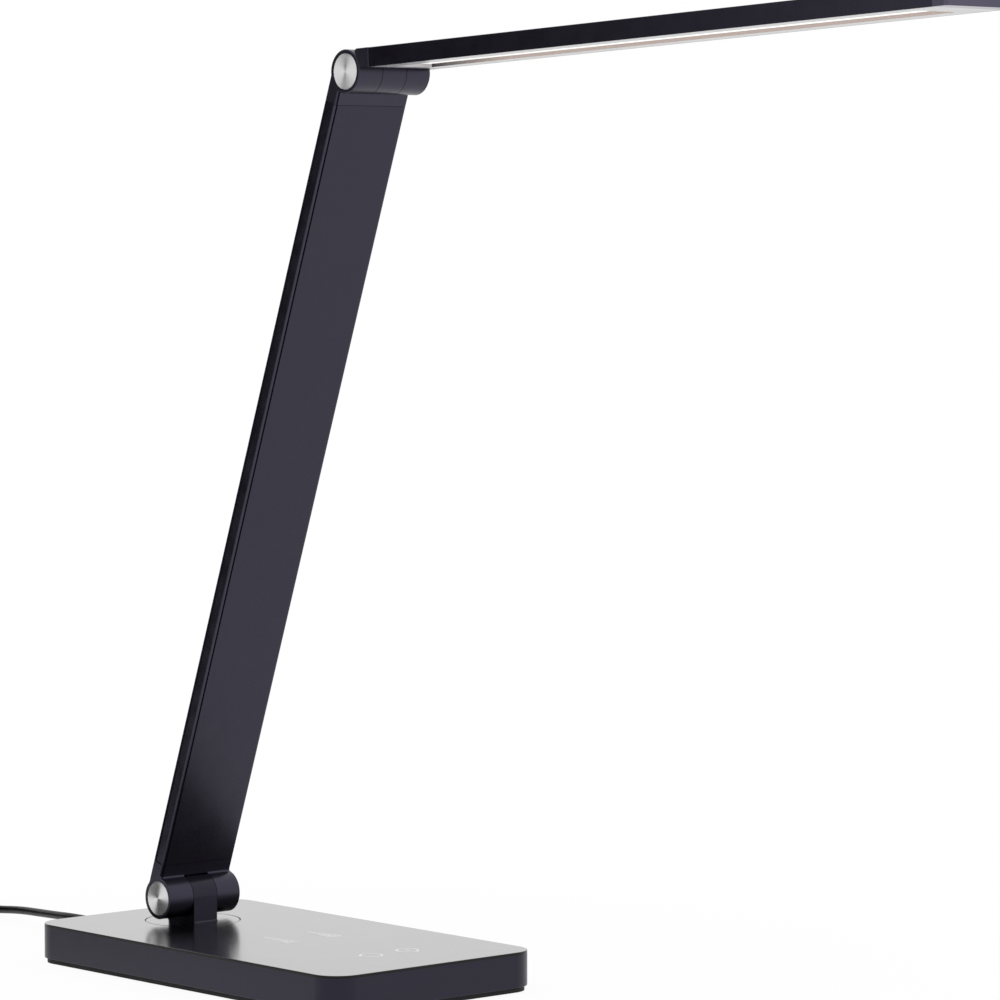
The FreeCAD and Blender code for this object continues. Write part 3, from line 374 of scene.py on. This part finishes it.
def moulded(name, dark, light, rough, grain_scale=MOULDED_GRAIN, grain_depth=MOULDED_GRAIN_DEPTH,
            level=MOULDED_SHEEN_LEVEL):
    """Moulded plastic or rubber with a fine skin."""
    material, tree, shader = new_material(name)
    shader.inputs["Specular IOR Level"].default_value = level
    mottle(tree, shader, dark, light, rough, MOULDED_PATCHES)
    bump(tree, shader, noise(tree, grain_scale, GRAIN_DETAIL), grain_depth, MOULDED_GRAIN_STRENGTH)
    return material


def metal(name, dark, light, rough, stretch=None):
    """Bare metal with fine streaks."""
    material, tree, shader = new_material(name)
    shader.inputs["Metallic"].default_value = 1.0
    streaks = noise(tree, METAL_STREAKS, stretch=stretch)
    link(tree, between(tree, spread(tree, streaks, 0.0, 1.0), dark, light), shader.inputs["Base Color"])
    link(tree, spread(tree, streaks, *rough), shader.inputs["Roughness"])
    return material


def spun_metal(name):
    """A turned disc: its fine grooves run round the hinge axis, so the highlight fans out from the middle."""
    material, tree, shader = new_material(name)
    shader.inputs["Metallic"].default_value = 1.0
    shader.inputs["Anisotropic"].default_value = 1.0
    shader.inputs["Anisotropic Rotation"].default_value = SPUN_TURN
    grain = noise(tree, SPUN_GRAIN, GRAIN_DETAIL)
    silver = between(tree, spread(tree, grain, 0.0, 1.0), SPUN_DARK, SPUN_LIGHT)
    link(tree, silver, shader.inputs["Base Color"])
    link(tree, spread(tree, grain, *SPUN_ROUGHNESS), shader.inputs["Roughness"])
    tangent = add_node(tree, "ShaderNodeTangent", direction_type="RADIAL", axis="Y")
    link(tree, tangent.outputs["Tangent"], shader.inputs["Tangent"])
    return material


def grooved_black(name):
    """The arm's channel: satin black, with the floor of the groove along each side smoother and darker, the
    darkness a painted shade for the groove's shadow.
    """
    material, tree, shader = new_material(name)
    cool_sheen(shader)
    from_middle = math_node(tree, "ABSOLUTE", axes(tree, place(tree))["Y"])
    sunk = math_node(tree, "LESS_THAN", from_middle, ARM_HALF_WIDTH - GROOVE_DEPTH / 2)
    groove = math_node(tree, "MULTIPLY", side_wall(tree), sunk)
    patches = spread(tree, noise(tree, SATIN_PATCHES), 0.0, 1.0)
    face = between(tree, patches, SATIN_DARK, SATIN_LIGHT)
    # Painted shade: the groove floor along each side is coloured darker
    link(tree, between(tree, groove, face, GROOVE_PAINTED_SHADE), shader.inputs["Base Color"])
    sheen = spread(tree, noise(tree, CHANNEL_SHEEN_PATCHES), *ANODISED_ROUGHNESS)
    smoother = math_node(tree, "MULTIPLY", groove, GROOVE_SMOOTHER)
    link(tree, math_node(tree, "ADD", sheen, smoother), shader.inputs["Roughness"])
    bump(tree, shader, noise(tree, SATIN_GRAIN, GRAIN_DETAIL), SATIN_GRAIN_DEPTH, SATIN_GRAIN_STRENGTH)
    return material


def pale_frame(name):
    """The pale frame of the lit window; the window's own walls carry painted light, a painted shade at the
    window's start and a painted warm LED light further along.
    """
    material, tree, shader = new_material(name)
    patches = spread(tree, noise(tree, FRAME_PATCHES), 0.0, 1.0)
    face = between(tree, patches, FRAME_DARK, FRAME_LIGHT)
    # Painted light on the window's walls: painted shade at the window's start, blending along X into painted
    # warm LED light
    lit = spread(tree, axes(tree, place(tree))["X"], 0.0, 1.0, WINDOW_START_X, WALL_PAINTED_LIGHT_FULL_X)
    side = between(tree, lit, WALL_PAINTED_SHADE, WALL_PAINTED_WARM_LIGHT)
    link(tree, between(tree, side_wall(tree), face, side), shader.inputs["Base Color"])
    sheen = spread(tree, noise(tree, FRAME_SHEEN_PATCHES), *FRAME_ROUGHNESS)
    link(tree, sheen, shader.inputs["Roughness"])
    return material


def milky(name, strength):
    """The diffuser, softly lit from behind."""
    material, tree, shader = new_material(name)
    mottle(tree, shader, DIFFUSER_DARK, DIFFUSER_LIGHT, DIFFUSER_ROUGHNESS, DIFFUSER_PATCHES)
    glow = between(tree, spread(tree, noise(tree, GLOW_PATCHES), 0.0, 1.0), GLOW_WARM, GLOW_WHITE)
    link(tree, glow, shader.inputs["Emission Color"])
    shader.inputs["Emission Strength"].default_value = strength
    return material


paint = satin_black("satin_paint", (0.27, 0.32), level=CASTING_SHEEN_LEVEL)
# A shaded copy of the casting paint: its lower sheen is a painted shade on the hinge post
post_paint_painted_shade = satin_black("post_paint_painted_shade", (0.21, 0.26), level=POST_PAINTED_SHADE_SHEEN_LEVEL)
anodised = satin_black("anodised", ANODISED_ROUGHNESS, level=COVER_SHEEN_LEVEL)
head_satin = satin_black("head_satin", (0.17, 0.21))
shell_satin = satin_black("shell_satin", (0.28, 0.34), level=SHELL_SHEEN_LEVEL)
tip_satin = satin_black("tip_satin", (0.16, 0.20), TIP_DARK, TIP_LIGHT)
panel_gloss = gloss_black("panel_gloss")
dull_black = moulded("dull_black", (0.006, 0.006, 0.007), (0.010, 0.010, 0.011), (0.5, 0.62),
                     level=DULL_SHEEN_LEVEL)
soft_black = moulded("soft_black", (0.004, 0.004, 0.005), (0.007, 0.007, 0.008), (0.34, 0.42),
                     level=DULL_SHEEN_LEVEL)
rubber_black = moulded("rubber_black", (0.012, 0.012, 0.012), (0.02, 0.02, 0.02), (0.7, 0.85),
                       grain_scale=900.0, grain_depth=0.0001)
pale_plastic = moulded("pale_plastic", (0.70, 0.70, 0.68), (0.78, 0.78, 0.76), (0.4, 0.5))
lead_grey = moulded("lead_grey", (0.50, 0.50, 0.50), (0.60, 0.60, 0.60), (0.45, 0.55))
board_green = moulded("board_green", (0.015, 0.10, 0.04), (0.025, 0.14, 0.06), (0.3, 0.4),
                      grain_scale=700.0)
phosphor = moulded("phosphor", (0.80, 0.70, 0.25), (0.90, 0.80, 0.35), (0.3, 0.4))
reflector_white = moulded("reflector_white", (0.78, 0.74, 0.68), (0.86, 0.82, 0.76), (0.45, 0.55))
steel = metal("steel", (0.42, 0.42, 0.43), (0.56, 0.56, 0.57), (0.28, 0.42))
iron = metal("iron", (0.14, 0.14, 0.14), (0.24, 0.24, 0.23), (0.5, 0.7))
brass = metal("brass", (0.60, 0.44, 0.20), (0.72, 0.55, 0.28), (0.3, 0.42))
nickel = metal("nickel", (0.60, 0.59, 0.57), (0.70, 0.69, 0.67), (0.18, 0.28), stretch=(1.0, 8.0, 8.0))
spun = spun_metal("spun_metal")
channel_black = grooved_black("channel_black")
bezel = pale_frame("bezel")
diffuser_lit = milky("diffuser", DIFFUSER_GLOW)

finishes = {
    paint: ["lower_yoke", "upper_yoke", "head_root"],
    post_paint_painted_shade: ["hinge_post"],
    anodised: ["arm_cover"],
    head_satin: ["head_housing"],
    tip_satin: ["head_tip"],
    channel_black: ["arm_channel"],
    shell_satin: ["base_shell"],
    panel_gloss: ["touch_panel", "turntable"],
    dull_black: ["bottom_cover", "dc_jack", "board_components", "usb_plug_tongue"],
    soft_black: ["dc_plug_grip", "usb_plug_grip", "power_cord", "cord_coil", "cord_tie"],
    rubber_black: ["non_slip_pad"],
    pale_plastic: ["thrust_washer", "friction_washer", "led_board"],
    lead_grey: ["supply_lead", "lamp_lead", "arm_lead", "head_lead"],
    board_green: ["control_board"],
    phosphor: ["leds"],
    reflector_white: ["reflector_frame"],
    steel: ["cover_screws", "board_screws", "post_screws", "retainer_plate", "retainer_screws", "yoke_screws",
            "lower_hinge_pin", "lower_spring_washers", "lower_hinge_nut", "upper_hinge_pin",
            "upper_spring_washers", "upper_hinge_nut", "head_screws"],
    iron: ["ballast_plate"],
    brass: ["touch_electrodes", "lower_hinge_bush", "upper_hinge_bush"],
    nickel: ["dc_plug_barrel", "usb_plug_shell"],
    spun: ["lower_cap_right", "lower_cap_left", "upper_cap_right", "upper_cap_left"],
    bezel: ["bezel_frame"],
    diffuser_lit: ["diffuser"],
}
for material, names in finishes.items():
    for name in names:
        for slot in nodes[name].material_slots:
            slot.material = material


# Cord
def ease(share):
    """A share from 0 to 1 that starts and ends gently."""
    share = min(max(share, 0.0), 1.0)
    return share * share * (3 - 2 * share)


coil_outer_radius = COIL_INNER_RADIUS + COIL_PITCH * COIL_TURNS_PER_LAYER
coil_turns = COIL_TURNS_PER_LAYER * COIL_LAYERS
coil_centre = Vector(CORD_ROUTE[-1]) + Vector((-CORD_DIAMETER, -coil_outer_radius, 0.0))


def coil_point(turn):
    """A point of the coil: spirals in and out, layer on layer, then a step out and down to the plug."""
    layer, along = divmod(min(turn, coil_turns - COIL_END_MARGIN) / COIL_TURNS_PER_LAYER, 1.0)
    inward = along if layer % 2 == 0 else 1 - along
    radius = coil_outer_radius - (coil_outer_radius - COIL_INNER_RADIUS) * inward
    climbs = sum(ease((turn - number * COIL_TURNS_PER_LAYER) / COIL_CLIMB_TURNS + 0.5)
                 for number in range(1, COIL_LAYERS))
    height = COIL_FLOOR + climbs * COIL_PITCH
    past_end = turn - coil_turns
    if past_end > 0:
        radius += COIL_EXIT_STEP * ease(past_end / COIL_STEP_TURNS)
        height += (PLUG_LEVEL - height) * ease((past_end - COIL_DROP_START) / COIL_DROP_TURNS)
    angle = math.radians(90 + 360 * turn)
    return coil_centre + Vector((radius * math.cos(angle), radius * math.sin(angle), height - COIL_FLOOR))


def make_cord():
    """One smooth round line from the plug's boot along the table and round the coil to the far plug."""
    steps = round((coil_turns + COIL_EXIT_TURNS) * COIL_POINTS_PER_TURN)
    points = [Vector(p) for p in CORD_ROUTE]
    points += [coil_point(step / COIL_POINTS_PER_TURN) for step in range(steps + 1)]
    points.append(points[-1] + Vector((CORD_DIAMETER, 0.0, 0.0)))
    curve = bpy.data.curves.new("power_cord_line", "CURVE")
    curve.dimensions = "3D"
    curve.bevel_depth = CORD_DIAMETER / 2
    curve.bevel_resolution = CORD_ROUNDNESS
    curve.use_fill_caps = True
    spline = curve.splines.new("NURBS")
    spline.points.add(len(points) - 1)
    for target, point in zip(spline.points, points):
        target.co = (*point, 1.0)
    spline.order_u = CORD_ORDER
    spline.use_endpoint_u = True
    spline.resolution_u = CORD_SMOOTHNESS
    cord = bpy.data.objects.new("power_cord_line", curve)
    bpy.context.scene.collection.objects.link(cord)
    curve.materials.append(soft_black)
    return cord


cord = make_cord()
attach(cord, "base")
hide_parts("power_cord", "cord_coil")


# Marks printed on the touch panel
def ring(radius, width, centre):
    """Corner points and faces of a flat ring."""
    points = []
    for step in range(RING_SEGMENTS):
        angle = 2 * math.pi * step / RING_SEGMENTS
        for reach in (radius - width / 2, radius + width / 2):
            points.append((centre[0] + reach * math.cos(angle), centre[1] + reach * math.sin(angle)))
    count = len(points)
    faces = [(k, k + 1, (k + 3) % count, (k + 2) % count) for k in range(0, count, 2)]
    return points, faces


def stroke(start, end, width):
    """Corner points and faces of a straight printed line."""
    along = (Vector(end) - Vector(start)).normalized()
    across = Vector((-along.y, along.x)) * width / 2
    corners = [Vector(start) - across, Vector(end) - across, Vector(end) + across, Vector(start) + across]
    return [tuple(c) for c in corners], [(0, 1, 2, 3)]


def print_marks(name, shapes, material):
    """One thin film of ink from flat shapes."""
    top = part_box("touch_panel")[1].z + MARK_HEIGHT
    points, faces = [], []
    for shape_points, shape_faces in shapes:
        start = len(points)
        points += [(x, y, top) for x, y in shape_points]
        faces += [tuple(start + k for k in face) for face in shape_faces]
    marks = mesh_object(name, points, faces, material)
    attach(marks, "base")


ink, ink_tree, ink_shader = new_material("ink")
mottle(ink_tree, ink_shader, INK_DARK, INK_LIGHT, INK_ROUGHNESS, MOULDED_PATCHES)
keys = [ring(KEY_RADIUS, MARK_LINE, (KEY_X, y)) for y in KEY_YS]
keys.append(stroke((KEY_X - KEY_DASH_HALF, KEY_YS[1]), (KEY_X + KEY_DASH_HALF, KEY_YS[1]), MARK_LINE))
print_marks("key_marks", keys, ink)

dimmer = []
for y in SCALE_YS:
    for step in range(SCALE_STROKES):
        x = SCALE_X + (step - (SCALE_STROKES - 1) / 2) * SCALE_PITCH
        half = SCALE_SHORTEST_HALF + SCALE_GROWTH * step
        dimmer.append(stroke((x, y - half), (x, y + half), SCALE_LINE))
print_marks("dimmer_marks", dimmer, ink)


# Studio
def mix_surfaces(tree, share, one, other):
    """Make the material's surface a mix of two."""
    mix = add_node(tree, "ShaderNodeMixShader")
    link(tree, share, mix.inputs["Fac"])
    link(tree, one, mix.inputs[1])
    link(tree, other, mix.inputs[2])
    link(tree, mix.outputs["Shader"], tree.nodes["Material Output"].inputs["Surface"])


def paper_material():
    """White paper that keeps the lamp's soft shadow and fades into the white round it at its rim."""
    material, tree, shader = new_material("floor")
    tree.nodes.remove(shader)
    paper = add_node(tree, "ShaderNodeBsdfDiffuse")
    tone = between(tree, spread(tree, noise(tree, PAPER_PATCHES), 0.0, 1.0), PAPER_DARK, PAPER_LIGHT)
    link(tree, tone, paper.inputs["Color"])
    white = add_node(tree, "ShaderNodeEmission")
    away = vector_node(tree, "LENGTH", place(tree))["Value"]
    outwards = smooth(tree, away, *FLOOR_FADE)
    wash = spread(tree, outwards, FLOOR_WASH, 1.0, 0.0, 1.0)
    rays = add_node(tree, "ShaderNodeLightPath").outputs
    mirrored = math_node(tree, "MAXIMUM", rays["Is Glossy Ray"], rays["Is Transmission Ray"])
    seen = math_node(tree, "MAXIMUM", rays["Is Camera Ray"], mirrored)
    share = math_node(tree, "MULTIPLY", seen, wash)
    mix_surfaces(tree, share, paper.outputs["BSDF"], white.outputs["Emission"])
    return material


def make_floor():
    """A round sheet of paper under the lamp."""
    rim = [2 * math.pi * step / FLOOR_CORNERS for step in range(FLOOR_CORNERS)]
    points = [(FLOOR_RADIUS * math.cos(a), FLOOR_RADIUS * math.sin(a), FLOOR_LEVEL) for a in rim]
    floor = mesh_object("floor", points, [tuple(range(FLOOR_CORNERS))], paper_material())


def flag_shape():
    """Corner points and faces of the dark sheet: a patch of a large dome round the lamp."""
    bottom, top = math.asin(DARK_BOTTOM[0]), math.asin(DARK_TOP[0])
    points = []
    for row in range(FLAG_STEPS + 1):
        rise = bottom + (top - bottom) * row / FLAG_STEPS
        for column in range(FLAG_STEPS + 1):
            turn = math.radians(180 + DARK_TOWARDS + DARK_EDGE * (2 * column / FLAG_STEPS - 1))
            level = Vector((math.cos(turn), math.sin(turn), 0.0)) * math.cos(rise)
            points.append((level + Vector((0.0, 0.0, math.sin(rise)))) * FLAG_DISTANCE)
    stride = FLAG_STEPS + 1
    corners = [row * stride + column for row in range(FLAG_STEPS) for column in range(FLAG_STEPS)]
    faces = [(corner, corner + 1, corner + stride + 1, corner + stride) for corner in corners]
    return points, faces


def flag_material():
    """Black cloth that thins out softly towards all its edges."""
    material, tree, shader = new_material("flag")
    tree.nodes.remove(shader)
    direction = vector_node(tree, "NORMALIZE", place(tree))["Vector"]
    height = axes(tree, direction)["Z"]
    level = vector_node(tree, "MULTIPLY", direction, (1.0, 1.0, 0.0))["Vector"]
    heading = vector_node(tree, "NORMALIZE", level)["Vector"]
    towards = math.radians(DARK_TOWARDS)
    aim = vector_node(tree, "DOT_PRODUCT", heading, (-math.cos(towards), -math.sin(towards), 0.0))["Value"]
    edge, core = (math.cos(math.radians(angle)) for angle in (DARK_EDGE, DARK_CORE))
    strip = smooth(tree, aim, edge, core)
    tall = math_node(tree, "MULTIPLY", smooth(tree, height, *DARK_TOP), smooth(tree, height, *DARK_BOTTOM))
    cover = math_node(tree, "MULTIPLY", math_node(tree, "MULTIPLY", strip, tall), DARK_DEPTH)
    clear = add_node(tree, "ShaderNodeBsdfTransparent")
    cloth = add_node(tree, "ShaderNodeBsdfDiffuse")
    cloth.inputs["Color"].default_value = FLAG_BLACK
    mix_surfaces(tree, cover, clear.outputs["BSDF"], cloth.outputs["BSDF"])
    return material


def make_flag():
    """A tall dark sheet far off on the camera's left, unseen by it, that darkens some reflections."""
    points, faces = flag_shape()
    flag = mesh_object("flag", points, faces, flag_material())
    flag.visible_camera = False


def make_world():
    """Plain white all round."""
    world = bpy.data.worlds.new("studio")
    world.use_nodes = True
    bpy.context.scene.world = world
    background = world.node_tree.nodes["Background"]
    background.inputs["Color"].default_value = (1.0, 1.0, 1.0, 1.0)
    background.inputs["Strength"].default_value = 1.0


def make_camera():
    """The photograph's point of view."""
    data = bpy.data.cameras.new("camera")
    data.lens = CAMERA_LENS
    data.sensor_width = SENSOR_WIDTH
    camera = bpy.data.objects.new("camera", data)
    camera.location = CAMERA_PLACE
    camera.rotation_euler = (math.radians(90 - CAMERA_DIP), 0.0, math.radians(CAMERA_TURN))
    bpy.context.scene.collection.objects.link(camera)
    bpy.context.scene.camera = camera


make_floor()
make_flag()
make_world()
make_camera()
bpy.context.scene.view_settings.view_transform = "Standard"
